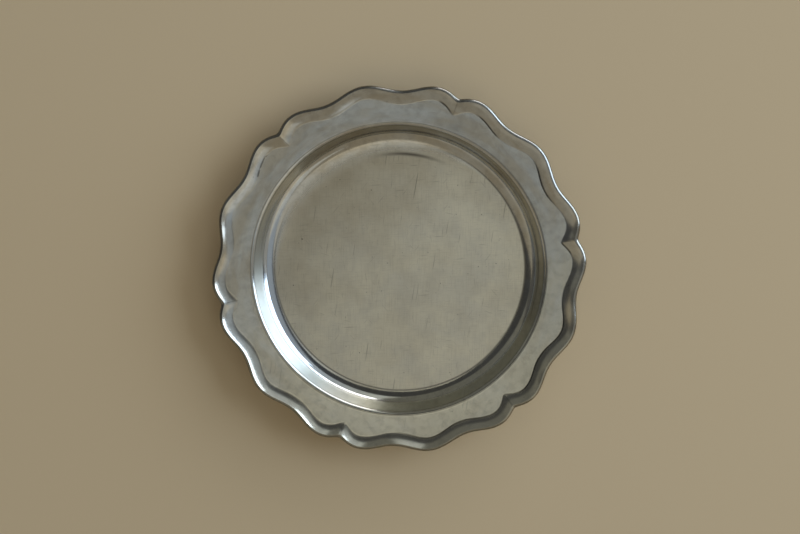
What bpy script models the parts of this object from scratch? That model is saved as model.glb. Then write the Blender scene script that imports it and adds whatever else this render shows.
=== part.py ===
# Paten plate: a turned pewter dish with a wavy six-lobed edge.
# The dish (well, cavetto, shoulder and flange) is one turned shell, trimmed to a lobed outline.
# Its border is six cast mouldings, laid end to end on the flange and mitred at the six notches.
# Units are metres, +Z is up, and the origin is at the centre of the flat underside.

import bpy
import bmesh
import math

# Turned dish
METAL_THICKNESS = 0.0020     # of the floor, the wall and the flange
WELL_RADIUS = 0.0848         # where the flat floor ends
FLANGE_INNER_RADIUS = 0.0992
FLANGE_BLANK_RADIUS = 0.1280 # turned oversize, then trimmed to the lobed outline
FLOOR_LIFT = math.radians(8) # the wall leaves the floor at this angle
FOOT_SLOPE = math.radians(24)
WALL_SLOPE = math.radians(64)
FLANGE_SLOPE = math.radians(5)
FOOT_BEND = 0.0160           # radius of the shallow curve at the foot of the wall
CAVETTO_BEND = 0.0090        # radius of the tighter hollow above it
SHOULDER_BEND = 0.0030       # radius of the round shoulder at the top of the wall
TURNED_STEPS = 72

# Lobed outline of the border, one half section from a notch to its middle crest
SECTION_COUNT = 6
FIRST_NOTCH = math.radians(10.25)
HALF_SECTION = math.pi / SECTION_COUNT
CREST_ANGLE = math.radians(6.6)    # side crest, measured from the notch
TROUGH_ANGLE = math.radians(18)
OUTER_NOTCH = 0.1213
OUTER_CREST = 0.1250
OUTER_TROUGH = 0.1199
OUTER_MIDDLE = 0.1247
INNER_NOTCH = 0.1096               # the pointed nib on the flange
INNER_CREST = 0.1156
INNER_TROUGH = 0.1103
INNER_MIDDLE = 0.1156

# Border moulding: a cove rises from the flange to a narrow ridge, and a bevelled lip falls outside it
FIT_GAP = 0.0003
LIP_OVERHANG = 0.0015        # the lip wraps this far round the trimmed edge of the flange
MOULDING_WIDTH = 0.0096      # usual width; the heights stay the same where it is wider or narrower
STEP_HEIGHT = 0.0005         # small upright step where the moulding meets the flange
COVE_LOW = math.radians(5)
COVE_HIGH = math.radians(29)
RIDGE_BEND = 0.0006
LIP_LOW = math.radians(14)
LIP_MIDDLE = math.radians(56)
LIP_HIGH = math.radians(87)
LIP_WIDTH = 0.0016
LIP_END_BEND = 0.0007

PEWTER = (0.26, 0.25, 0.20, 1.0)
PEWTER_BORDER = (0.24, 0.23, 0.19, 1.0)


def clear_scene():
    for obj in list(bpy.data.objects):
        bpy.data.objects.remove(obj, do_unlink=True)


def new_collection(name):
    collection = bpy.data.collections.new(name)
    bpy.context.scene.collection.children.link(collection)
    return collection


def new_material(name, color, roughness):
    material = bpy.data.materials.new(name)
    material.use_nodes = True
    shader = material.node_tree.nodes["Principled BSDF"]
    shader.inputs["Base Color"].default_value = color
    shader.inputs["Metallic"].default_value = 1.0
    shader.inputs["Roughness"].default_value = roughness
    return material


def add_object(name, mesh, collection, material=None):
    obj = bpy.data.objects.new(name, mesh)
    collection.objects.link(obj)
    if material:
        obj.data.materials.append(material)
    return obj


def arc_points(start_r, start_z, bend, angle_from, angle_to, steps):
    # Points along an arc whose slope goes from one angle to the other, the start point left out.
    turn = 1 if angle_to > angle_from else -1
    points = []
    for i in range(1, steps + 1):
        angle = angle_from + (angle_to - angle_from) * i / steps
        r = start_r + turn * bend * (math.sin(angle) - math.sin(angle_from))
        z = start_z + turn * bend * (math.cos(angle_from) - math.cos(angle))
        points.append((r, z))
    return points


def dish_profile():
    # Upper face of the dish, from its centre to the rim of the blank.
    points = [(0.0, METAL_THICKNESS), (WELL_RADIUS, METAL_THICKNESS)]
    points += arc_points(*points[-1], FOOT_BEND, FLOOR_LIFT, FOOT_SLOPE, 3)
    points += arc_points(*points[-1], CAVETTO_BEND, FOOT_SLOPE, WALL_SLOPE, 3)
    shoulder_width = SHOULDER_BEND * (math.sin(WALL_SLOPE) - math.sin(FLANGE_SLOPE))
    wall_top = FLANGE_INNER_RADIUS - shoulder_width
    wall_rise = (wall_top - points[-1][0]) * math.tan(WALL_SLOPE)
    points.append((wall_top, points[-1][1] + wall_rise))
    points += arc_points(*points[-1], SHOULDER_BEND, WALL_SLOPE, FLANGE_SLOPE, 4)
    flange_edge = points[-1]
    points.append((FLANGE_BLANK_RADIUS, flange_edge[1] + flange_rise(FLANGE_BLANK_RADIUS)))
    return points, flange_edge[1]


def flange_rise(radius):
    return (radius - FLANGE_INNER_RADIUS) * math.tan(FLANGE_SLOPE)


def ease(t):
    return (1 - math.cos(math.pi * t)) / 2


def lobed_radius(from_notch, notch, crest, trough, middle):
    # Radius of a lobed line at an angle from a notch, within half a section.
    if from_notch < CREST_ANGLE:
        t = 1 - from_notch / CREST_ANGLE
        return crest + (notch - crest) * t * t
    if from_notch < TROUGH_ANGLE:
        t = (from_notch - CREST_ANGLE) / (TROUGH_ANGLE - CREST_ANGLE)
        return crest + (trough - crest) * ease(t)
    t = (from_notch - TROUGH_ANGLE) / (HALF_SECTION - TROUGH_ANGLE)
    return trough + (middle - trough) * ease(t)


def outer_radius(from_notch):
    return lobed_radius(from_notch, OUTER_NOTCH, OUTER_CREST, OUTER_TROUGH, OUTER_MIDDLE)


def inner_radius(from_notch):
    return lobed_radius(from_notch, INNER_NOTCH, INNER_CREST, INNER_TROUGH, INNER_MIDDLE)


def half_section_angles(first):
    # Angles from the notch to the middle crest, closer together round the side crest.
    stops = [(first, CREST_ANGLE, 3), (CREST_ANGLE, TROUGH_ANGLE, 4), (TROUGH_ANGLE, HALF_SECTION, 4)]
    angles = [first]
    for start, end, steps in stops:
        angles += [start + (end - start) * i / steps for i in range(1, steps + 1)]
    return angles


def section_stations(first):
    # Pairs of the angle along a whole section and the angle from its nearer notch.
    half = half_section_angles(first)
    rising = [(angle, angle) for angle in half]
    falling = [(2 * HALF_SECTION - angle, angle) for angle in reversed(half[:-1])]
    return rising + falling


def make_outline_cutter(collection):
    # A tall prism whose outline is the trimmed edge of the flange.
    points = []
    for section in range(SECTION_COUNT):
        for along, from_notch in section_stations(0.0)[:-1]:
            angle = FIRST_NOTCH + 2 * HALF_SECTION * section + along
            radius = outer_radius(from_notch) - LIP_OVERHANG
            points.append((radius * math.cos(angle), radius * math.sin(angle), 0.0))
    curve = bpy.data.curves.new("flange_outline", "CURVE")
    curve.dimensions = "2D"
    curve.fill_mode = "BOTH"
    curve.extrude = 0.04
    spline = curve.splines.new("POLY")
    spline.points.add(len(points) - 1)
    for spline_point, point in zip(spline.points, points):
        spline_point.co = (*point, 1.0)
    spline.use_cyclic_u = True
    guide = add_object("flange_outline_guide", curve, collection)
    evaluated = guide.evaluated_get(bpy.context.evaluated_depsgraph_get())
    mesh = bpy.data.meshes.new_from_object(evaluated)
    weld_mesh(mesh)
    cutter = add_object("flange_outline_cutter", mesh, collection)
    cutter.matrix_world = guide.matrix_world
    bpy.data.objects.remove(guide, do_unlink=True)
    cutter.hide_render = True
    cutter.display_type = "WIRE"
    return cutter


def weld_mesh(mesh):
    bm = bmesh.new()
    bm.from_mesh(mesh)
    bmesh.ops.remove_doubles(bm, verts=bm.verts, dist=0.00001)
    bmesh.ops.recalc_face_normals(bm, faces=bm.faces)
    bm.to_mesh(mesh)
    bm.free()


def make_plate_body(collection, cutter, material):
    # The whole dish is one piece of metal: floor, cavetto, shoulder and flange.
    profile, _ = dish_profile()
    mesh = bpy.data.meshes.new("plate_body")
    vertices = [(r, 0.0, z) for r, z in profile]
    edges = [(i, i + 1) for i in range(len(profile) - 1)]
    mesh.from_pydata(vertices, edges, [])
    body = add_object("plate_body", mesh, collection, material)
    screw = body.modifiers.new("turn", "SCREW")
    screw.axis = "Z"
    screw.angle = 2 * math.pi
    screw.steps = TURNED_STEPS
    screw.render_steps = TURNED_STEPS
    screw.use_merge_vertices = True
    screw.merge_threshold = 0.00001
    screw.use_smooth_shade = True
    shell = body.modifiers.new("metal", "SOLIDIFY")
    shell.thickness = METAL_THICKNESS
    shell.offset = -1
    shell.use_even_offset = True
    trim = body.modifiers.new("lobed_edge", "BOOLEAN")
    trim.operation = "INTERSECT"
    trim.solver = "EXACT"
    trim.object = cutter
    return body


def moulding_surface():
    # Exposed face of the moulding at its usual width: (distance from the inner line, height
    # above the flange), up the cove, over the ridge and down the lip.
    ridge_width = RIDGE_BEND * (math.sin(COVE_HIGH) + math.sin(LIP_LOW))
    lip_bend = LIP_WIDTH / (math.sin(LIP_MIDDLE) - math.sin(LIP_LOW))
    end_width = LIP_END_BEND * (math.sin(LIP_HIGH) - math.sin(LIP_MIDDLE))
    cove_width = MOULDING_WIDTH - ridge_width - LIP_WIDTH - end_width
    cove_bend = cove_width / (math.sin(COVE_HIGH) - math.sin(COVE_LOW))
    points = [(0.0, STEP_HEIGHT)]
    points += arc_points(*points[-1], cove_bend, COVE_LOW, COVE_HIGH, 4)
    points += arc_points(*points[-1], RIDGE_BEND, COVE_HIGH, -LIP_LOW, 2)
    points += arc_points(*points[-1], lip_bend, -LIP_LOW, -LIP_MIDDLE, 2)
    points += arc_points(*points[-1], LIP_END_BEND, -LIP_MIDDLE, -LIP_HIGH, 1)
    return points


def moulding_profile(outer, inner):
    # Cross-section at one station: (radius, height above the flange), from the inner step over
    # the moulding to the foot of the lip, then back along the edge and the top of the flange.
    rebate = outer - LIP_OVERHANG + FIT_GAP
    stretch = (outer - inner) / MOULDING_WIDTH
    points = [(inner + across * stretch, height) for across, height in moulding_surface()]
    points.append((outer, -METAL_THICKNESS))
    points.append((rebate, -METAL_THICKNESS))
    points.append((rebate, FIT_GAP))
    points.append((inner, FIT_GAP))
    return points


def make_border_mesh(flange_height):
    # One section, from notch to notch; its two ends are the mitre faces, each set back by an
    # angle that leaves the fit gap between neighbours at the middle of the moulding.
    end_gap = FIT_GAP / (OUTER_NOTCH + INNER_NOTCH)
    bm = bmesh.new()
    rings = []
    for along, from_notch in section_stations(end_gap):
        outer = outer_radius(from_notch)
        inner = inner_radius(from_notch)
        ring = []
        for radius, height in moulding_profile(outer, inner):
            z = flange_height + flange_rise(radius) + height
            ring.append(bm.verts.new((radius * math.cos(along), radius * math.sin(along), z)))
        rings.append(ring)
    count = len(rings[0])
    for ring, following in zip(rings, rings[1:]):
        for i in range(count):
            j = (i + 1) % count
            bm.faces.new((ring[i], following[i], following[j], ring[j]))
    bm.faces.new(rings[0])
    bm.faces.new(list(reversed(rings[-1])))
    bmesh.ops.recalc_face_normals(bm, faces=bm.faces)
    mesh = bpy.data.meshes.new("border_section")
    bm.to_mesh(mesh)
    bm.free()
    mesh.shade_smooth()
    mesh.set_sharp_from_angle(angle=math.radians(40))
    return mesh


def make_border(collection, material):
    # Six equal sections; sections 1 to 6 run anticlockwise from the first notch.
    _, flange_height = dish_profile()
    mesh = make_border_mesh(flange_height)
    for section in range(SECTION_COUNT):
        piece = add_object(f"border_section_{section + 1}", mesh, collection)
        piece.rotation_euler = (0.0, 0.0, FIRST_NOTCH + 2 * HALF_SECTION * section)
    mesh.materials.append(material)


def build():
    clear_scene()
    parts = new_collection("paten_plate")
    cutters = new_collection("paten_plate_cutters")
    cutter = make_outline_cutter(cutters)
    make_plate_body(parts, cutter, new_material("worn_pewter", PEWTER, 0.35))
    make_border(parts, new_material("worn_pewter_border", PEWTER_BORDER, 0.28))


build()
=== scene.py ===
import math

import bmesh
import bpy
from mathutils import Matrix, Vector


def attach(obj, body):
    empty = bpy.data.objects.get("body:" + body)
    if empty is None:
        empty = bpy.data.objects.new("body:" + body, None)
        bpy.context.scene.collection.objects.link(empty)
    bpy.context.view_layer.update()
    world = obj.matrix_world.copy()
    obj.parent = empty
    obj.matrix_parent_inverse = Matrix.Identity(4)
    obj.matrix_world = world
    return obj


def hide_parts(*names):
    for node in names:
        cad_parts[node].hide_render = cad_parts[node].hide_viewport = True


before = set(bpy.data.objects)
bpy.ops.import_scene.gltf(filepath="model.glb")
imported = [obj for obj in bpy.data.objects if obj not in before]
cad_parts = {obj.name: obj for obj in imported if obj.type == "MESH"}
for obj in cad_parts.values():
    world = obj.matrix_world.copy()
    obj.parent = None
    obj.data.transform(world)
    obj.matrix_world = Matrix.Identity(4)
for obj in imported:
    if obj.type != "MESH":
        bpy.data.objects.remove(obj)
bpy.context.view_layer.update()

# A worn pewter paten plate: one turned dish and six border mouldings round its lobed edge.
# It lies flat on its base, +Z is its axis, and all sizes are in metres.

scene = bpy.context.scene


def addNode(tree, kind, inputs=None, **settings):
    node = tree.nodes.new(kind)
    for key, value in settings.items():
        setattr(node, key, value)
    for key, value in (inputs or {}).items():
        wire(tree, value, node.inputs[key])
    return node


def wire(tree, value, socket):
    if isinstance(value, bpy.types.NodeSocket):
        tree.links.new(value, socket)
    else:
        socket.default_value = value


def maths(tree, operation, *values):
    node = tree.nodes.new("ShaderNodeMath")
    node.operation = operation
    for value, socket in zip(values, node.inputs):
        wire(tree, value, socket)
    return node.outputs[0]


def add(tree, a, b):
    return maths(tree, "ADD", a, b)


def subtract(tree, a, b):
    return maths(tree, "SUBTRACT", a, b)


def multiply(tree, a, b):
    return maths(tree, "MULTIPLY", a, b)


def vectorMaths(tree, operation, *values):
    node = tree.nodes.new("ShaderNodeVectorMath")
    node.operation = operation
    for value, socket in zip(values, node.inputs):
        wire(tree, value, socket)
    return node.outputs["Value" if operation in ("LENGTH", "DOT_PRODUCT") else "Vector"]


def ramp(tree, value, low, high, toLow=0.0, toHigh=1.0, smooth=True):
    node = addNode(tree, "ShaderNodeMapRange", {0: value, 1: low, 2: high, 3: toLow, 4: toHigh})
    node.interpolation_type = "SMOOTHSTEP" if smooth else "LINEAR"
    return node.outputs[0]


def newGeometryTree(name, countLabel, numberLabels):
    # Takes a profile object, a material, one count and some plain numbers.
    tree = bpy.data.node_groups.new(name, "GeometryNodeTree")
    tree.interface.new_socket("Geometry", in_out="OUTPUT", socket_type="NodeSocketGeometry")
    inputs = [("Profile", "Object"), ("Material", "Material"), (countLabel, "Int")]
    for label, kind in inputs + [(label, "Float") for label in numberLabels]:
        tree.interface.new_socket(label, in_out="INPUT", socket_type=f"NodeSocket{kind}")
    return tree, tree.nodes.new("NodeGroupInput").outputs, tree.nodes.new("NodeGroupOutput")


# The wavy edge: six equal sections, each from one notch of the border to the next.
lobes = {
    "count": 6,
    "firstNotch": math.radians(10.25),
    "crestAngle": math.radians(6.6),   # side crest, measured from the notch
    "troughAngle": math.radians(18),
    "notchRound": math.radians(0.9),   # softens the notch's point
    "outer": {"Notch": 0.1212, "Crest": 0.1249, "Trough": 0.1198, "Middle": 0.1246},
    "inner": {"Notch": 0.1096, "Crest": 0.1156, "Trough": 0.1103, "Middle": 0.1156},
    "innerPoint": 1.25,                # above 1, the inner line's middle crests are narrower
}


def makeLobedGroup():
    # Radius of a lobed line, from the angle to the nearest notch and its four radii.
    tree = bpy.data.node_groups.new("lobedRadius", "GeometryNodeTree")
    for label in ("Angle", "Notch", "Crest", "Trough", "Middle", "Point", "Round"):
        tree.interface.new_socket(label, in_out="INPUT", socket_type="NodeSocketFloat")
    tree.interface.new_socket("Radius", in_out="OUTPUT", socket_type="NodeSocketFloat")
    given = tree.nodes.new("NodeGroupInput").outputs
    halfSection = math.pi / lobes["count"]
    crestAngle, troughAngle = lobes["crestAngle"], lobes["troughAngle"]

    def share(start, end, toStart, toEnd):
        return ramp(tree, given["Angle"], start, end, toStart, toEnd, False)

    def ease(t):
        wave = maths(tree, "COSINE", multiply(tree, t, math.pi))
        return multiply(tree, subtract(tree, 1.0, wave), 0.5)

    def softened(angle):
        square = add(tree, multiply(tree, angle, angle), multiply(tree, given["Round"], given["Round"]))
        return subtract(tree, maths(tree, "SQRT", square), given["Round"])

    reach = maths(tree, "DIVIDE", softened(given["Angle"]), softened(crestAngle))
    notchShare = subtract(tree, 1.0, maths(tree, "MINIMUM", reach, 1.0))
    notchPart = multiply(tree, multiply(tree, notchShare, notchShare),
                         subtract(tree, given["Notch"], given["Crest"]))
    troughPart = multiply(tree, ease(share(crestAngle, troughAngle, 0.0, 1.0)),
                          subtract(tree, given["Trough"], given["Crest"]))
    middleShare = maths(tree, "POWER", ease(share(troughAngle, halfSection, 0.0, 1.0)), given["Point"])
    middlePart = multiply(tree, middleShare, subtract(tree, given["Middle"], given["Trough"]))
    radius = add(tree, add(tree, given["Crest"], notchPart), add(tree, troughPart, middlePart))
    tree.links.new(radius, tree.nodes.new("NodeGroupOutput").inputs["Radius"])
    return tree


def makeWobbleGroup():
    # Slow unevenness of hand-finished metal, the same for the flange and what sits on it.
    tree = bpy.data.node_groups.new("handWobble", "GeometryNodeTree")
    for label, kind in (("Place", "Vector"), ("Size", "Float"), ("Scale", "Float")):
        tree.interface.new_socket(label, in_out="INPUT", socket_type=f"NodeSocket{kind}")
    tree.interface.new_socket("Lift", in_out="OUTPUT", socket_type="NodeSocketFloat")
    given = tree.nodes.new("NodeGroupInput").outputs
    settings = {"Vector": given["Place"], "Scale": given["Scale"], "Detail": 1.0}
    level = addNode(tree, "ShaderNodeTexNoise", settings).outputs[0]
    lift = multiply(tree, subtract(tree, level, 0.5), multiply(tree, given["Size"], 2.0))
    tree.links.new(lift, tree.nodes.new("NodeGroupOutput").inputs["Lift"])
    return tree


lobedGroup = makeLobedGroup()
wobbleGroup = makeWobbleGroup()


def lobedRadius(tree, angle, given, prefix, point=1.0):
    node = addNode(tree, "GeometryNodeGroup", node_tree=lobedGroup)
    wire(tree, angle, node.inputs["Angle"])
    wire(tree, point, node.inputs["Point"])
    wire(tree, lobes["notchRound"], node.inputs["Round"])
    for label in ("Notch", "Crest", "Trough", "Middle"):
        wire(tree, given[f"{prefix} {label}"], node.inputs[label])
    return node.outputs["Radius"]


def wobbleLift(tree, place, given):
    node = addNode(tree, "GeometryNodeGroup", node_tree=wobbleGroup)
    for label, value in (("Place", place), ("Size", given["Wobble"]), ("Scale", given["Wobble Scale"])):
        wire(tree, value, node.inputs[label])
    return node.outputs["Lift"]


def sampleProfile(tree, profile, column):
    node = addNode(tree, "GeometryNodeSampleIndex", {"Geometry": profile, "Index": column},
                   data_type="FLOAT_VECTOR")
    position = tree.nodes.new("GeometryNodeInputPosition").outputs[0]
    tree.links.new(position, node.inputs["Value"])
    apart = addNode(tree, "ShaderNodeSeparateXYZ", {0: node.outputs[0]})
    return apart.outputs


def gridRowsAndColumns(tree, rows, columns):
    grid = addNode(tree, "GeometryNodeMeshGrid", {"Vertices X": rows, "Vertices Y": columns})
    index = tree.nodes.new("GeometryNodeInputIndex").outputs[0]
    column = maths(tree, "MODULO", index, columns)
    row = maths(tree, "FLOOR", maths(tree, "DIVIDE", add(tree, index, 0.5), columns))
    return grid.outputs["Mesh"], row, column


def polarPoint(tree, radius, angle, height):
    x = multiply(tree, radius, maths(tree, "COSINE", angle))
    y = multiply(tree, radius, maths(tree, "SINE", angle))
    return addNode(tree, "ShaderNodeCombineXYZ", {0: x, 1: y, 2: height}).outputs[0]


def storeFloat(tree, geometry, name, value):
    node = addNode(tree, "GeometryNodeStoreNamedAttribute", {"Geometry": geometry, "Name": name},
                   data_type="FLOAT")
    wire(tree, value, node.inputs["Value"])
    return node.outputs[0]


def moveTo(tree, mesh, position):
    return addNode(tree, "GeometryNodeSetPosition", {0: mesh, "Position": position}).outputs[0]


def finishTree(tree, geometry, given, output):
    weld = {"Geometry": geometry, "Distance": 0.000001}
    joined = addNode(tree, "GeometryNodeMergeByDistance", weld).outputs[0]
    flipped = addNode(tree, "GeometryNodeFlipFaces", {0: joined}).outputs[0]
    smooth = addNode(tree, "GeometryNodeSetShadeSmooth", {0: flipped}).outputs[0]
    real = addNode(tree, "GeometryNodeRealizeInstances", {0: smooth}).outputs[0]
    painted = addNode(tree, "GeometryNodeSetMaterial", {0: real, "Material": given["Material"]})
    tree.links.new(painted.outputs[0], output.inputs["Geometry"])


# The turned dish: lengths in metres, slopes from the horizontal.
dish = {
    "metal": 0.0020,
    "hub": 0.0020,            # radius of the first ring of faces round the centre
    "fineStart": 0.068,       # from here out the flat floor has closer rings
    "wellRadius": 0.0848,     # where the flat floor ends
    "cornerStep": 0.0004,     # the last ring of the floor lies this far inside it
    "flangeStart": 0.0992,
    "floorLift": math.radians(8),
    "footSlope": math.radians(24),
    "wallSlope": math.radians(64),
    "flangeSlope": math.radians(5),
    "footBend": 0.0160,
    "cavettoBend": 0.0090,
    "shoulderBend": 0.0030,
    "edgeInset": 0.0015,      # the metal ends this far inside the border's lip
    "blankEdge": 0.1235,      # the profile's own edge, before it is drawn in to the lobes
    "steps": 540,
    "wobble": 0.00008,        # hand finishing leaves the faces this uneven
    "wobbleScale": 28.0,
    "wornAngle": math.radians(115),  # the worn side of the well's corner
    "wornReach": math.radians(75),
    "wornCore": 0.35,         # the share of that reach that is fully worn
    "wornWidth": 0.0120,      # the floor starts to rise this far inside the corner
    "wornFade": 0.010,        # the rise fades out this far up the foot
    "wornLift": 0.00084,
    "sharpAngle": math.radians(25),
}


def makeDishTree():
    numbers = ["Edge Notch", "Edge Crest", "Edge Trough", "Edge Middle",
               "First Notch", "Flange Start", "Flange Slope", "Blank Edge",
               "Wobble", "Wobble Scale", "Worn Angle", "Worn Lift"]
    tree, given, output = newGeometryTree("turnedDish", "Steps", numbers)
    info = addNode(tree, "GeometryNodeObjectInfo", {"Object": given["Profile"]})
    profile = info.outputs["Geometry"]
    columns = addNode(tree, "GeometryNodeAttributeDomainSize", {0: profile}).outputs[0]
    mesh, row, column = gridRowsAndColumns(tree, add(tree, given["Steps"], 1.0), columns)
    radius, _, height = sampleProfile(tree, profile, column)
    angle = multiply(tree, maths(tree, "DIVIDE", row, given["Steps"]), 2 * math.pi)
    fromNotch = maths(tree, "PINGPONG", angle, math.pi / lobes["count"])
    edge = lobedRadius(tree, fromNotch, given, "Edge")
    # The flange is drawn in to the lobed edge along its own slope.
    beyond = maths(tree, "MAXIMUM", subtract(tree, radius, given["Flange Start"]), 0.0)
    draw = maths(tree, "DIVIDE", subtract(tree, edge, given["Flange Start"]),
                 subtract(tree, given["Blank Edge"], given["Flange Start"]))
    drawn = add(tree, subtract(tree, radius, beyond), multiply(tree, beyond, draw))
    height = add(tree, height, multiply(tree, subtract(tree, drawn, radius), given["Flange Slope"]))
    turned = add(tree, angle, given["First Notch"])
    flat = polarPoint(tree, drawn, turned, 0.0)
    wobble = wobbleLift(tree, flat, given)
    upper = maths(tree, "GREATER_THAN", height, 0.5 * dish["metal"])
    # On one side the well's corner is worn soft: the floor starts to rise before it.
    fromWorn = maths(tree, "ABSOLUTE", subtract(tree, turned, given["Worn Angle"]))
    corner, reach = dish["wellRadius"], dish["wornReach"]
    worn = ramp(tree, fromWorn, reach * dish["wornCore"], reach, 1.0, 0.0)
    near = ramp(tree, radius, corner - dish["wornWidth"], corner, 0.0, 1.0, False)
    past = ramp(tree, radius, corner, corner + dish["wornFade"], 1.0, 0.0)
    rise = multiply(tree, multiply(tree, multiply(tree, near, near), past), given["Worn Lift"])
    height = add(tree, height, multiply(tree, rise, multiply(tree, worn, upper)))
    height = add(tree, height, multiply(tree, wobble, upper))
    placed = moveTo(tree, mesh, polarPoint(tree, drawn, turned, height))
    finishTree(tree, storeFloat(tree, placed, "worn", worn), given, output)
    return tree


# The border moulding, from its inner line (the toe) outwards: cove, ridge, bevelled lip.
border = {
    "width": 0.0096,          # a usual width; heights keep their size where it is wider or narrower
    "toe": 0.00004,           # step at the inner line, where the moulding meets the flange
    "toeBend": 0.0050,        # the cove leaves the flange in a tight bend, then opens out
    "coveLow": math.radians(1),
    "coveTurn": math.radians(9),
    "coveHigh": math.radians(34),
    "ridgeBend": 0.0004,
    "lipLow": math.radians(14),
    "lipMiddle": math.radians(56),
    "lipHigh": math.radians(87),
    "lipWidth": 0.0018,
    "lipBend": 0.0007,
    "stations": 241,
    "seam": 0.00003,          # hairline between neighbours and under the moulding
    "hemTop": 0.0004,         # the outer face goes down this far from the lip
    "hemFoot": 0.0007,        # and its bottom edge is rounded off from this far up
    "sharpAngle": math.radians(35),
}


def makeBorderTree():
    numbers = ["Outer Notch", "Outer Crest", "Outer Trough", "Outer Middle",
               "Inner Notch", "Inner Crest", "Inner Trough", "Inner Middle", "Inner Point",
               "Turn", "Seam Angle", "Flange Start", "Flange Height", "Flange Slope",
               "Wobble", "Wobble Scale"]
    tree, given, output = newGeometryTree("borderMoulding", "Stations", numbers)
    info = addNode(tree, "GeometryNodeObjectInfo", {"Object": given["Profile"]})
    profile = info.outputs["Geometry"]
    points = addNode(tree, "GeometryNodeAttributeDomainSize", {0: profile}).outputs[0]
    mesh, row, column = gridRowsAndColumns(tree, given["Stations"], add(tree, points, 1.0))
    place, inset, height = sampleProfile(tree, profile, maths(tree, "MODULO", column, points))
    # A section runs from just past one notch to just before the next.
    span = subtract(tree, 2 * math.pi / lobes["count"], multiply(tree, given["Seam Angle"], 2.0))
    share = maths(tree, "DIVIDE", row, subtract(tree, given["Stations"], 1.0))
    along = add(tree, given["Seam Angle"], multiply(tree, span, share))
    fromNotch = maths(tree, "PINGPONG", along, math.pi / lobes["count"])
    outer = lobedRadius(tree, fromNotch, given, "Outer")
    inner = lobedRadius(tree, fromNotch, given, "Inner", given["Inner Point"])
    across = multiply(tree, subtract(tree, outer, inner), place)
    radius = subtract(tree, subtract(tree, outer, across), inset)
    rise = multiply(tree, subtract(tree, radius, given["Flange Start"]), given["Flange Slope"])
    turned = add(tree, along, given["Turn"])
    wobble = wobbleLift(tree, polarPoint(tree, radius, turned, 0.0), given)
    z = add(tree, add(tree, given["Flange Height"], rise), add(tree, height, wobble))
    placed = moveTo(tree, mesh, polarPoint(tree, radius, turned, z))
    stored = storeFloat(tree, placed, "place", place)
    stored = storeFloat(tree, stored, "toMitre", multiply(tree, fromNotch, radius))
    finishTree(tree, stored, given, output)
    return tree


def profileObject(name, points):
    mesh = bpy.data.meshes.new(name)
    mesh.from_pydata(points, [(i, i + 1) for i in range(len(points) - 1)], [])
    obj = bpy.data.objects.new(name, mesh)
    scene.collection.objects.link(obj)
    return obj


def arcLine(start, bend, angleFrom, angleTo, steps):
    # A line going outwards whose slope changes evenly along a round bend.
    turn = 1 if angleTo > angleFrom else -1
    line = []
    for i in range(1, steps + 1):
        a = angleFrom + (angleTo - angleFrom) * i / steps
        line.append((start[0] + turn * bend * (math.sin(a) - math.sin(angleFrom)),
                     start[1] + turn * bend * (math.cos(angleFrom) - math.cos(a))))
    return line


def straightLine(start, end, steps):
    across, up = end[0] - start[0], end[1] - start[1]
    return [(start[0] + across * i / steps, start[1] + up * i / steps) for i in range(1, steps + 1)]


def dishFace(lift, well, thicker, flangeStart, edge):
    # One face of the dish from its centre to its edge, and the height where its flange starts.
    slope, flange = dish["wallSlope"], dish["flangeSlope"]
    shoulder = dish["shoulderBend"] - thicker
    hub, fine = (dish["hub"], lift), (dish["fineStart"], lift)
    line = [(0.0, lift), hub] + straightLine(hub, fine, 12)
    line += straightLine(fine, (well - dish["cornerStep"], lift), 20) + [(well, lift)]
    line += arcLine(line[-1], dish["footBend"] + thicker, dish["floorLift"], dish["footSlope"], 10)
    line += arcLine(line[-1], dish["cavettoBend"] + thicker, dish["footSlope"], slope, 12)
    wallTop = flangeStart - shoulder * (math.sin(slope) - math.sin(flange))
    top = (wallTop, line[-1][1] + (wallTop - line[-1][0]) * math.tan(slope))
    line += straightLine(line[-1], top, 6)
    line += arcLine(line[-1], shoulder, slope, flange, 12)
    flangeLevel = line[-1][1]
    end = (edge, flangeLevel + (edge - flangeStart) * math.tan(flange))
    line += straightLine(line[-1], end, 14)
    return line, flangeLevel


def makeDishProfile():
    # The lower face is the upper one moved through the metal, so its bends swap sizes.
    metal = dish["metal"]
    upper, flangeLevel = dishFace(metal, dish["wellRadius"], 0.0, dish["flangeStart"], dish["blankEdge"])
    well = dish["wellRadius"] + metal * math.tan(dish["floorLift"] / 2)
    start = dish["flangeStart"] + metal * math.sin(dish["flangeSlope"])
    lower, _ = dishFace(0.0, well, metal, start, dish["blankEdge"])
    points = [(r, 0.0, z) for r, z in upper] + [(r, 0.0, z) for r, z in reversed(lower)]
    return profileObject("dishProfile", points), flangeLevel


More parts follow.
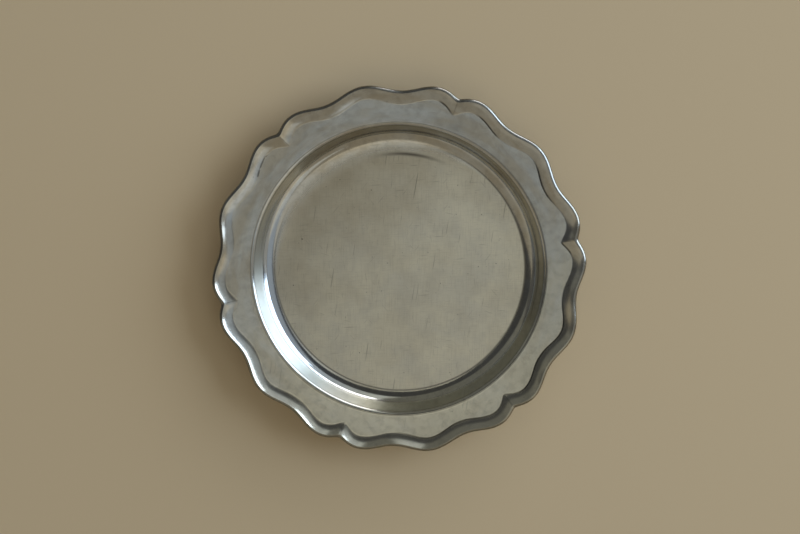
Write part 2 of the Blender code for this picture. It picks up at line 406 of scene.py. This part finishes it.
def makeBorderProfile():
    # Points hold the place across the width, an inset in metres, and the height over the flange.
    b, metal = border, dish["metal"]
    ridgeWidth = b["ridgeBend"] * (math.sin(b["coveHigh"]) + math.sin(b["lipLow"]))
    endWidth = b["lipBend"] * (math.sin(b["lipHigh"]) - math.sin(b["lipMiddle"]))
    bevelBend = b["lipWidth"] / (math.sin(b["lipMiddle"]) - math.sin(b["lipLow"]))
    toeWidth = b["toeBend"] * (math.sin(b["coveTurn"]) - math.sin(b["coveLow"]))
    coveWidth = b["width"] - toeWidth - ridgeWidth - b["lipWidth"] - endWidth
    coveBend = coveWidth / (math.sin(b["coveHigh"]) - math.sin(b["coveTurn"]))
    line = [(0.0, b["toe"])]
    line += arcLine(line[-1], b["toeBend"], b["coveLow"], b["coveTurn"], 8)
    line += arcLine(line[-1], coveBend, b["coveTurn"], b["coveHigh"], 20)
    line += arcLine(line[-1], b["ridgeBend"], b["coveHigh"], -b["lipLow"], 10)
    line += arcLine(line[-1], bevelBend, -b["lipLow"], -b["lipMiddle"], 8)
    line += arcLine(line[-1], b["lipBend"], -b["lipMiddle"], -b["lipHigh"], 8)
    line += [(b["width"], line[-1][1] - b["hemTop"]), (b["width"], -metal + b["hemFoot"])]
    top = [(1 - x / b["width"], 0.0, z) for x, z in line]
    rebate, seam = dish["edgeInset"] - b["seam"], b["seam"]
    under = [(0.0, 0.0001, -metal + 0.0003), (0.0, 0.0004, -metal)]
    under += [(0.0, rebate, -metal), (0.0, rebate, seam)]
    under += [(share, 0.0, seam) for share in (0.3, 0.6, 1.0)]
    return profileObject("borderProfile", top + under)


def runTree(name, tree, values):
    # Runs a node tree once and keeps its result as a plain mesh.
    carrier = bpy.data.objects.new(name + "Carrier", bpy.data.meshes.new(name + "Carrier"))
    scene.collection.objects.link(carrier)
    modifier = carrier.modifiers.new("nodes", "NODES")
    modifier.node_group = tree
    for item in tree.interface.items_tree:
        if item.in_out == "INPUT":
            modifier[item.identifier] = values[item.name]
    carrier.update_tag()
    bpy.context.view_layer.update()
    evaluated = carrier.evaluated_get(bpy.context.evaluated_depsgraph_get())
    mesh = bpy.data.meshes.new_from_object(evaluated)
    bpy.data.objects.remove(carrier, do_unlink=True)
    mesh.name = name
    return mesh


def closeAndShade(mesh, sharpAngle):
    bm = bmesh.new()
    bm.from_mesh(mesh)
    openEdges = [edge for edge in bm.edges if edge.is_boundary]
    if openEdges:
        bmesh.ops.holes_fill(bm, edges=openEdges, sides=0)
    bmesh.ops.recalc_face_normals(bm, faces=bm.faces)
    bm.to_mesh(mesh)
    bm.free()
    mesh.shade_smooth()
    mesh.set_sharp_from_angle(angle=sharpAngle)


def addPiece(name, mesh, node):
    obj = bpy.data.objects.new(name, mesh)
    scene.collection.objects.link(obj)
    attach(obj, "root")
    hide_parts(node)


def lobeValues(prefix, radii, inset=0.0):
    return {f"{prefix} {label}": radius - inset for label, radius in radii.items()}


def makeDish(material):
    profile, flangeLevel = makeDishProfile()
    values = {"Profile": profile, "Material": material, "Steps": dish["steps"],
              "First Notch": lobes["firstNotch"], "Flange Start": dish["flangeStart"],
              "Flange Slope": math.tan(dish["flangeSlope"]), "Blank Edge": dish["blankEdge"],
              "Wobble": dish["wobble"], "Wobble Scale": dish["wobbleScale"],
              "Worn Angle": dish["wornAngle"], "Worn Lift": dish["wornLift"]}
    values.update(lobeValues("Edge", lobes["outer"], dish["edgeInset"]))
    mesh = runTree("dishMesh", makeDishTree(), values)
    bpy.data.objects.remove(profile, do_unlink=True)
    closeAndShade(mesh, dish["sharpAngle"])
    addPiece("turned_dish", mesh, "plate_body")
    print("dish made:", len(mesh.polygons), "faces")
    return flangeLevel


def makeBorder(material, flangeLevel):
    profile = makeBorderProfile()
    tree = makeBorderTree()
    section = 2 * math.pi / lobes["count"]
    for number in range(lobes["count"]):
        values = {"Profile": profile, "Material": material, "Stations": border["stations"],
                  "Turn": lobes["firstNotch"] + section * number, "Inner Point": lobes["innerPoint"],
                  "Seam Angle": border["seam"] / (2 * lobes["outer"]["Trough"]),
                  "Flange Start": dish["flangeStart"], "Flange Height": flangeLevel,
                  "Flange Slope": math.tan(dish["flangeSlope"]),
                  "Wobble": dish["wobble"], "Wobble Scale": dish["wobbleScale"]}
        values.update(lobeValues("Outer", lobes["outer"]))
        values.update(lobeValues("Inner", lobes["inner"]))
        mesh = runTree(f"borderMesh{number + 1}", tree, values)
        closeAndShade(mesh, border["sharpAngle"])
        addPiece(f"border_moulding_{number + 1}", mesh, f"border_section_{number + 1}")
    bpy.data.objects.remove(profile, do_unlink=True)
    print("border made:", lobes["count"], "mouldings")


# Shared by the wall, the flange and the border. Colours are what the bare metal reflects.
pewter = {
    "rimColour": (0.55, 0.57, 0.57),
    "rimPatch": (0.48, 0.455, 0.395),    # browner patches where it wasn't cleaned
    "rimWarmReflection": (0.63, 0.605, 0.50),      # painted warm reflection, towards one side of the plate
    # the dark colour of tarnish, also used for painted shade and painted dark reflections
    "tarnishAndShade": (0.10, 0.092, 0.075),
    "patchSize": (0.045, 0.014),         # round the plate and across it
    "cloudScale": 35,                    # scales of the noises: higher is finer
    "dullScale": 170,
    "speckScale": 420,
    # the side where a warm reflection is painted
    "warmReflectionSide": math.radians(285),
    "warmFrom": -0.05,                   # distances from the axis, towards that side
    "warmTo": 0.12,
    "warmMost": 0.85,
    "dullMost": 0.16,                    # fine dulling all over
    "rimRoughness": 0.20,
    "unevenRoughness": 0.10,
}


def mixColour(tree, share, first, second):
    node = addNode(tree, "ShaderNodeMix", data_type="RGBA")
    wire(tree, share, node.inputs["Factor"])
    for value, socket in ((first, node.inputs["A"]), (second, node.inputs["B"])):
        wire(tree, value if isinstance(value, bpy.types.NodeSocket) else (*value, 1), socket)
    return node.outputs["Result"]


def noise(tree, place, scale, detail=2.0, offset=0.0, roughness=0.5):
    moved = vectorMaths(tree, "ADD", place, (offset, offset * 0.7, offset * 0.3))
    settings = {"Vector": moved, "Scale": scale, "Detail": detail, "Roughness": roughness}
    return addNode(tree, "ShaderNodeTexNoise", settings).outputs[0]


def stretchedNoise(tree, place, direction, length, width, seed, detail=0.0):
    # Noise drawn out along one direction.
    turn = {"Vector": place, "Rotation": (0, 0, -math.radians(direction)),
            "Location": (seed, seed * 1.3, 0)}
    turned = addNode(tree, "ShaderNodeMapping", turn).outputs[0]
    scaled = vectorMaths(tree, "MULTIPLY", turned, (1 / length, 1 / width, 0))
    settings = {"Vector": scaled, "Scale": 1.0, "Detail": detail}
    return addNode(tree, "ShaderNodeTexNoise", settings).outputs[0]


def scratchSet(tree, place, direction, length, width, rare, seed):
    # Long thin marks that all run one way: a stretched noise of which only the peaks are kept.
    return ramp(tree, stretchedNoise(tree, place, direction, length, width, seed), rare, rare + 0.05)


def ringNoise(tree, place, along, across, seed, detail=3.0):
    # Patches drawn out round the plate, without a seam.
    flat = vectorMaths(tree, "MULTIPLY", place, (1, 1, 0))
    radius = vectorMaths(tree, "LENGTH", flat)
    outward = vectorMaths(tree, "NORMALIZE", flat)
    turn = dish["flangeStart"] / along
    circle = vectorMaths(tree, "MULTIPLY", outward, (turn, turn, 0))
    lift = {0: seed, 1: 0.0, 2: multiply(tree, radius, 1 / across)}
    spot = vectorMaths(tree, "ADD", circle, addNode(tree, "ShaderNodeCombineXYZ", lift).outputs[0])
    settings = {"Vector": spot, "Scale": 1.0, "Detail": detail, "Roughness": 0.6}
    return addNode(tree, "ShaderNodeTexNoise", settings).outputs[0]


def stroke(tree, place, start, end, width, strength):
    # One straight mark that thins out at both ends.
    length = math.dist(start, end)
    ahead = ((end[0] - start[0]) / length, (end[1] - start[1]) / length, 0)
    moved = vectorMaths(tree, "SUBTRACT", place, (start[0], start[1], 0))
    along = vectorMaths(tree, "DOT_PRODUCT", moved, ahead)
    beside = vectorMaths(tree, "DOT_PRODUCT", moved, (-ahead[1], ahead[0], 0))
    line = ramp(tree, maths(tree, "ABSOLUTE", beside), 0.0, width, strength, 0.0)
    fromMiddle = maths(tree, "ABSOLUTE", subtract(tree, along, length / 2))
    return multiply(tree, line, ramp(tree, fromMiddle, length * 0.25, length * 0.52, 1.0, 0.0))


def angleAway(tree, place, angle):
    # The angle between a point's direction from the centre and a given one.
    outward = vectorMaths(tree, "NORMALIZE", vectorMaths(tree, "MULTIPLY", place, (1, 1, 0)))
    cosine = vectorMaths(tree, "DOT_PRODUCT", outward, (math.cos(angle), math.sin(angle), 0))
    return maths(tree, "ARCCOSINE", maths(tree, "MINIMUM", cosine, 1.0))


def sideMask(tree, place, angle, start, end):
    # 0 to 1 across the plate, towards one side of it.
    along = vectorMaths(tree, "DOT_PRODUCT", place, (math.cos(angle), math.sin(angle), 0))
    return ramp(tree, along, start, end)


def darkest(tree, *masks):
    result = masks[0]
    for mask in masks[1:]:
        result = maths(tree, "MAXIMUM", result, mask)
    return result


def newMaterial(name):
    material = bpy.data.materials.new(name)
    material.use_nodes = True
    tree = material.node_tree
    shader = tree.nodes["Principled BSDF"]
    shader.inputs["Metallic"].default_value = 1.0
    place = tree.nodes.new("ShaderNodeTexCoord").outputs["Object"]
    return material, tree, shader, place


def bump(tree, shader, height, distance):
    node = addNode(tree, "ShaderNodeBump", {"Height": height, "Distance": distance, "Strength": 1.0})
    tree.links.new(node.outputs["Normal"], shader.inputs["Normal"])


def unevenFinish(tree, place, scale):
    # Added to the roughness: half of it up, half of it down.
    level = subtract(tree, noise(tree, place, scale, 3.0, 2.0), 0.5)
    return multiply(tree, level, pewter["unevenRoughness"])


def rimMetal(tree, place):
    # Cooler where it was cleaned, browner in patches, and warmer towards one side, where a warm
    # reflection is painted.
    along, across = pewter["patchSize"]
    patches = ramp(tree, ringNoise(tree, place, along, across, 2.0), 0.36, 0.64)
    cloudy = subtract(tree, noise(tree, place, pewter["cloudScale"], 4.0, 6.0, 0.65), 0.5)
    # A warmer tint towards one side, with a cloudy edge: painted warm reflection.
    toWarmReflectionSide = sideMask(tree, place, pewter["warmReflectionSide"], pewter["warmFrom"], pewter["warmTo"])
    warmReflection = ramp(tree, add(tree, toWarmReflectionSide, cloudy), 0.0, 1.0, 0.0, pewter["warmMost"], False)
    colour = mixColour(tree, patches, pewter["rimColour"], pewter["rimPatch"])
    colour = mixColour(tree, warmReflection, colour, pewter["rimWarmReflection"])
    dull = noise(tree, place, pewter["dullScale"], 5.0, 11.0, 0.7)
    dull = ramp(tree, dull, 0.42, 0.68, 0.0, pewter["dullMost"])
    return mixColour(tree, dull, colour, pewter["tarnishAndShade"])


# The dish's own finish. It starts with the well's colours.
dishPewter = {
    "wellColour": (0.78, 0.755, 0.64),
    "wellPatch": (0.68, 0.665, 0.585),
    # partly a stain, partly painted shade: the colour the well takes towards one side
    "wellStainAndShade": (0.52, 0.475, 0.375),
    # a cooler wall colour: painted reflection of the window light on one side
    "wallCoolReflection": (0.54, 0.575, 0.61),
    "patchScale": 30,
    "stainScale": 26,
    "speckGroups": 45,                   # specks come in groups of this scale
    "unevenScale": 60,
    "fineScale": 900,
    "wellRoughness": 0.38,
    "wallRoughness": 0.13,
    "tarnishRoughness": 0.15,            # what full tarnish adds
    # The well's finish gives way to the wall's between these radii, and wear spreads them apart.
    "wellEnd": 0.0836,
    "wallStart": 0.0864,
    "wornInward": 0.011,
    "wornOutward": 0.003,
    "coolReflectionEnd": (0.0965, 0.0985),         # the painted cool reflection on the wall ends here, in the shoulder
    "flangeFinish": (0.097, 0.101),      # and the flange's duller finish starts here
    # sides of the plate: angle, then how far from the axis the effect starts and is full
    # darker and browner towards this side: partly a stain, partly painted shade
    "stainedAndShaded": (math.radians(125), -0.03, 0.095),
    # a cooler wall towards this side: painted reflection of the window light
    "coolReflection": (math.radians(198), 0.042, 0.088),
    # dark rings: radius, width, strength; the corner ring is painted shade in the well's corner
    "cornerShadeRing": (0.0850, 0.0009, 0.7),
    "rings": ((0.0992, 0.0005, 0.6), (0.0968, 0.0004, 0.35)),
    # scratch sets: direction, length, width, how rare, strength
    "scratches": ((81, 0.022, 0.0009, 0.775, 0.45), (97, 0.011, 0.0008, 0.78, 0.25),
                  (3, 0.013, 0.0009, 0.785, 0.3), (-17, 0.009, 0.0008, 0.785, 0.25),
                  (52, 0.012, 0.0008, 0.79, 0.25), (131, 0.010, 0.0008, 0.79, 0.2)),
    # grain left by cleaning: direction, length, width, strength
    "grain": ((88, 0.012, 0.0007, 0.11), (2, 0.008, 0.0007, 0.09)),
    # single marks: start, end, width, strength
    "marks": (((0.0135, 0.0657), (0.0100, 0.0460), 0.0005, 0.5),),
    # a crescent rubbed into the well: radius, angle, reach, width, strength
    "crescent": (0.0775, math.radians(84), math.radians(22), 0.0019, 0.8),
    "bumpHeight": 0.00002,
}


def wellMetal(tree, place):
    patches = ramp(tree, noise(tree, place, dishPewter["patchScale"], 5.0, 0.0, 0.65), 0.36, 0.64)
    well = mixColour(tree, patches, dishPewter["wellColour"], dishPewter["wellPatch"])
    cloudy = noise(tree, place, dishPewter["stainScale"], 5.0, 8.0, 0.65)
    cloudy = ramp(tree, cloudy, 0.30, 0.70, 0.0, 0.5)
    # Darker and browner towards one side, with cloudy edges: partly a stain, partly painted shade.
    stainAndShade = add(tree, sideMask(tree, place, *dishPewter["stainedAndShaded"]), subtract(tree, cloudy, 0.25))
    stainAndShade = addNode(tree, "ShaderNodeClamp", {0: stainAndShade}).outputs[0]
    well = mixColour(tree, stainAndShade, well, dishPewter["wellStainAndShade"])
    for number, (direction, length, width, strength) in enumerate(dishPewter["grain"]):
        lines = stretchedNoise(tree, place, direction, length, width, 3.1 + number, 2.0)
        well = mixColour(tree, ramp(tree, lines, 0.45, 0.75, 0.0, strength), well, pewter["tarnishAndShade"])
    return well


def dishTarnishAndShade(tree, place, radius, outside, worn):
    # Scratches, specks, the crescent, single marks, rings and the painted shade in the well's corner;
    # the darkest one counts.
    scratches = []
    for number, (direction, length, width, rare, strength) in enumerate(dishPewter["scratches"]):
        lines = scratchSet(tree, place, direction, length, width, rare, 1.7 * number + 0.4)
        scratches.append(multiply(tree, lines, strength))
    scratches = multiply(tree, darkest(tree, *scratches), ramp(tree, outside, 0.0, 1.0, 1.0, 0.5))
    specks = ramp(tree, noise(tree, place, pewter["speckScale"], 1.0, 5.0), 0.74, 0.79)
    groups = ramp(tree, noise(tree, place, dishPewter["speckGroups"], 1.0, 9.0), 0.45, 0.65)
    specks = multiply(tree, specks, groups)
    specks = multiply(tree, specks, ramp(tree, outside, 0.0, 1.0, 0.8, 0.3))

    def ringLine(ringRadius, width, strength):
        away = maths(tree, "ABSOLUTE", subtract(tree, radius, ringRadius))
        return ramp(tree, away, 0.0, width, strength, 0.0)

    arcRadius, arcAngle, arcReach, arcWidth, arcStrength = dishPewter["crescent"]
    arc = multiply(tree, ringLine(arcRadius, arcWidth, arcStrength),
                   ramp(tree, angleAway(tree, place, arcAngle), 0.0, arcReach, 1.0, 0.0))
    strokes = [stroke(tree, place, *mark) for mark in dishPewter["marks"]]
    rings = [ringLine(*ring) for ring in dishPewter["rings"]]
    # painted shade in the well's corner, fading where the corner is worn soft
    rings.append(multiply(tree, ringLine(*dishPewter["cornerShadeRing"]), subtract(tree, 1.0, worn)))
    return darkest(tree, multiply(tree, scratches, 0.8), specks, arc, *strokes, *rings)


def makeDishPewter():
    material, tree, shader, place = newMaterial("worn_pewter_dish")
    radius = vectorMaths(tree, "LENGTH", vectorMaths(tree, "MULTIPLY", place, (1, 1, 0)))
    worn = addNode(tree, "ShaderNodeAttribute", attribute_name="worn").outputs["Fac"]
    # The well's finish ends at its corner, less sharply where the corner is worn.
    wellEnd = subtract(tree, dishPewter["wellEnd"], multiply(tree, worn, dishPewter["wornInward"]))
    wallStart = add(tree, dishPewter["wallStart"], multiply(tree, worn, dishPewter["wornOutward"]))
    outside = ramp(tree, radius, wellEnd, wallStart)
    well = wellMetal(tree, place)
    # A cooler tint on one side of the wall: painted reflection of the window light.
    coolReflection = multiply(tree, sideMask(tree, place, *dishPewter["coolReflection"]),
                    ramp(tree, radius, *dishPewter["coolReflectionEnd"], 1.0, 0.0))
    rim = mixColour(tree, coolReflection, rimMetal(tree, place), dishPewter["wallCoolReflection"])
    colour = mixColour(tree, outside, well, rim)
    dark = dishTarnishAndShade(tree, place, radius, outside, worn)
    colour = mixColour(tree, dark, colour, pewter["tarnishAndShade"])
    tree.links.new(colour, shader.inputs["Base Color"])
    wallRoughness = dishPewter["wallRoughness"]
    rough = ramp(tree, outside, 0.0, 1.0, dishPewter["wellRoughness"], wallRoughness)
    flangeExtra = pewter["rimRoughness"] - wallRoughness
    rough = add(tree, rough, ramp(tree, radius, *dishPewter["flangeFinish"], 0.0, flangeExtra))
    uneven = unevenFinish(tree, place, dishPewter["unevenScale"])
    tarnished = multiply(tree, dark, dishPewter["tarnishRoughness"])
    rough = add(tree, rough, add(tree, uneven, tarnished))
    tree.links.new(rough, shader.inputs["Roughness"])
    fine = noise(tree, place, dishPewter["fineScale"], 2.0, 4.0)
    fine = multiply(tree, fine, ramp(tree, outside, 0.0, 1.0, 0.35, 0.06))
    bump(tree, shader, subtract(tree, fine, dark), dishPewter["bumpHeight"])
    return material


# The border's own finish, over the shared metal.
borderPewter = {
    # the lip is darkened all round: partly edge tarnish, partly a painted dark reflection
    "lipTarnishAndShade": 0.60,
    "lipEdge": (0.16, 0.25),             # shares of the width, from the lip inwards
    # painted shade in the crease where the moulding meets the flange
    "toeShade": 0.95,
    "toeEdge": (0.84, 0.95),
    "mitreTarnish": 0.3,
    "mitreWidth": 0.0006,
    "speckTarnish": 0.4,
    "unevenScale": 70,
    "fineScale": 700,
    # painted shade in the crease along the inner line, on some sides only: angle and reach in degrees
    "toeShadeMarks": ((31, 9), (58, 6), (73.5, 3), (8, 3), (330, 30), (290, 25)),
    # single marks: start, end, width, strength
    "marks": (((-0.0788, 0.0783), (-0.0882, 0.0770), 0.0006, 0.7),
              ((-0.0868, 0.0778), (-0.0913, 0.0680), 0.0008, 0.8),
              ((-0.0908, 0.0690), (-0.0926, 0.0630), 0.0010, 0.8)),
    "bumpHeight": 0.0000012,
}


def makeBorderPewter():
    material, tree, shader, place = newMaterial("worn_pewter_border")
    across = addNode(tree, "ShaderNodeAttribute", attribute_name="place").outputs["Fac"]
    toMitre = addNode(tree, "ShaderNodeAttribute", attribute_name="toMitre").outputs["Fac"]
    colour = rimMetal(tree, place)
    # Painted shade in the crease along the inner line, on some sides only.
    shadedSides = []
    for angle, reach in borderPewter["toeShadeMarks"]:
        away = angleAway(tree, place, math.radians(angle))
        shadedSides.append(ramp(tree, away, math.radians(reach) * 0.4, math.radians(reach), 1.0, 0.0))
    toe = ramp(tree, across, *borderPewter["toeEdge"], 0.0, borderPewter["toeShade"])
    toe = multiply(tree, toe, darkest(tree, *shadedSides))
    seam = ramp(tree, toMitre, 0.0, borderPewter["mitreWidth"], borderPewter["mitreTarnish"], 0.0)
    # The lip darkened all round: partly edge tarnish, partly a painted dark reflection.
    lip = ramp(tree, across, *borderPewter["lipEdge"], borderPewter["lipTarnishAndShade"], 0.0)
    strokes = [stroke(tree, place, *mark) for mark in borderPewter["marks"]]
    specks = ramp(tree, noise(tree, place, pewter["speckScale"], 1.0, 7.0), 0.75, 0.8)
    specks = multiply(tree, specks, borderPewter["speckTarnish"])
    dark = darkest(tree, toe, seam, lip, *strokes, specks)
    colour = mixColour(tree, dark, colour, pewter["tarnishAndShade"])
    tree.links.new(colour, shader.inputs["Base Color"])
    uneven = unevenFinish(tree, place, borderPewter["unevenScale"])
    rough = add(tree, uneven, pewter["rimRoughness"])
    tree.links.new(rough, shader.inputs["Roughness"])
    fine = noise(tree, place, borderPewter["fineScale"], 2.0, 4.0)
    bump(tree, shader, fine, borderPewter["bumpHeight"])
    return material


surface = {
    "half": 3.0,
    "drop": 0.0002,                      # just under the plate's base
    "colour": (0.67, 0.53, 0.345),
}


def makeFloor():
    mesh = bpy.data.meshes.new("floor")
    half = surface["half"]
    corners = [(-half, -half, 0), (half, -half, 0), (half, half, 0), (-half, half, 0)]
    mesh.from_pydata(corners, [], [(0, 1, 2, 3)])
    floor = bpy.data.objects.new("floor", mesh)
    floor.location.z = -surface["drop"]
    scene.collection.objects.link(floor)
    material, _, shader, _ = newMaterial("pale_floor")
    shader.inputs["Metallic"].default_value = 0.0
    shader.inputs["Base Color"].default_value = (*surface["colour"], 1)
    shader.inputs["Roughness"].default_value = 1.0
    shader.inputs["Specular IOR Level"].default_value = 0.0
    mesh.materials.append(material)


# The room that the metal mirrors, as flat lights all round the plate:
# azimuth, elevation, width and height in degrees, radiance, colour.
panels = {
    "window": (18, 20.5, 42, 37, 5.0, (0.72, 0.85, 1.0)),
    "windowSide": (46, 10, 16, 19, 4.0, (0.80, 0.92, 1.0)),
    "curtain": (67, 10, 27, 19, 4.2, (0.95, 0.95, 1.0)),
    "sideWall": (64, 37, 38, 38, 0.46, (0.90, 0.97, 1.0)),
    "aboveWindow": (345, 57, 66, 28, 0.36, (0.88, 0.96, 1.0)),
    "table": (262, 40, 110, 60, 0.26, (1.0, 0.86, 0.60)),
    "tableEnd": (328, 22, 44, 40, 0.32, (1.0, 0.92, 0.74)),
    "roomGlow": (225, 18, 60, 22, 0.09, (1.0, 0.95, 0.82)),
    "warmPatch": (283, 72.5, 20, 11, 0.50, (1.0, 0.93, 0.76)),
    "leftWall": (185, 26, 50, 36, 0.04, (1.0, 0.92, 0.72)),
    "darkRoom": (125, 32, 80, 50, 0.10, (1.0, 1.0, 0.84)),
    "ceilingWarm": (90, 89.5, 24, 17, 0.58, (1.0, 0.975, 0.84)),
    "ceilingCool": (238, 77, 18, 12, 0.12, (0.80, 0.92, 1.0)),
}

room = {
    "panelDistance": 4.0,
    "colour": (0.95, 0.97, 1.0),
    "strength": 0.06,
    "backdrop": 0.34,                    # added only where the camera sees it
}


def makeLights():
    far = room["panelDistance"]
    for name, (azimuth, elevation, width, height, radiance, colour) in panels.items():
        light = bpy.data.lights.new(name, "AREA")
        light.shape = "RECTANGLE"
        light.size = 2 * far * math.tan(math.radians(width) / 2)
        light.size_y = 2 * far * math.tan(math.radians(height) / 2)
        light.energy = radiance * math.pi * light.size * light.size_y
        light.color = colour
        azimuth, elevation = math.radians(azimuth), math.radians(elevation)
        level = math.cos(elevation)
        toLight = Vector((math.cos(azimuth) * level, math.sin(azimuth) * level, math.sin(elevation)))
        obj = bpy.data.objects.new(name, light)
        obj.location = toLight * far
        obj.rotation_euler = toLight.to_track_quat("Z", "Y").to_euler()
        obj.visible_camera = False
        scene.collection.objects.link(obj)
    print("lights made:", len(panels))


def makeWorld():
    # The backdrop looks pale, but lights the metal only a little.
    world = bpy.data.worlds.new("room")
    scene.world = world
    world.use_nodes = True
    tree = world.node_tree
    background = tree.nodes["Background"]
    background.inputs["Color"].default_value = (*room["colour"], 1)
    seen = tree.nodes.new("ShaderNodeLightPath").outputs["Is Camera Ray"]
    strength = add(tree, room["strength"], multiply(tree, seen, room["backdrop"]))
    wire(tree, strength, background.inputs["Strength"])
    scene.view_settings.view_transform = "Standard"


cameraView = {
    "back": (0.0577, 0.1603, 0.9854),    # from the plate to the camera
    "distance": 0.859,
    "focal": 58.2,
    "sensor": 36,
    "roll": math.radians(-0.54),
    "aimRight": 0.0017,                  # the aim is this far off the middle of the rim
    "aimUp": 0.0036,
    "rimHeight": 0.0200,
}


def makeCamera():
    back = Vector(cameraView["back"]).normalized()
    right = Vector((0, 1, 0)).cross(back).normalized()
    up = back.cross(right)
    turn = Matrix.Rotation(cameraView["roll"], 3, back)
    right, up = turn @ right, turn @ up
    centre = Vector((0, 0, cameraView["rimHeight"]))
    position = centre + back * cameraView["distance"]
    aim = centre + right * cameraView["aimRight"] + up * cameraView["aimUp"]
    back = (position - aim).normalized()
    right = up.cross(back).normalized()
    up = back.cross(right)
    camera = bpy.data.objects.new("camera", bpy.data.cameras.new("camera"))
    camera.data.sensor_width = cameraView["sensor"]
    camera.data.lens = cameraView["focal"]
    camera.data.clip_start = 0.01
    turned = Matrix((right, up, back)).transposed().to_4x4()
    camera.matrix_world = Matrix.Translation(position) @ turned
    scene.collection.objects.link(camera)
    scene.camera = camera


makeCamera()
makeLights()
makeWorld()
makeFloor()
print("stage made")
flangeLevel = makeDish(makeDishPewter())
makeBorder(makeBorderPewter(), flangeLevel)
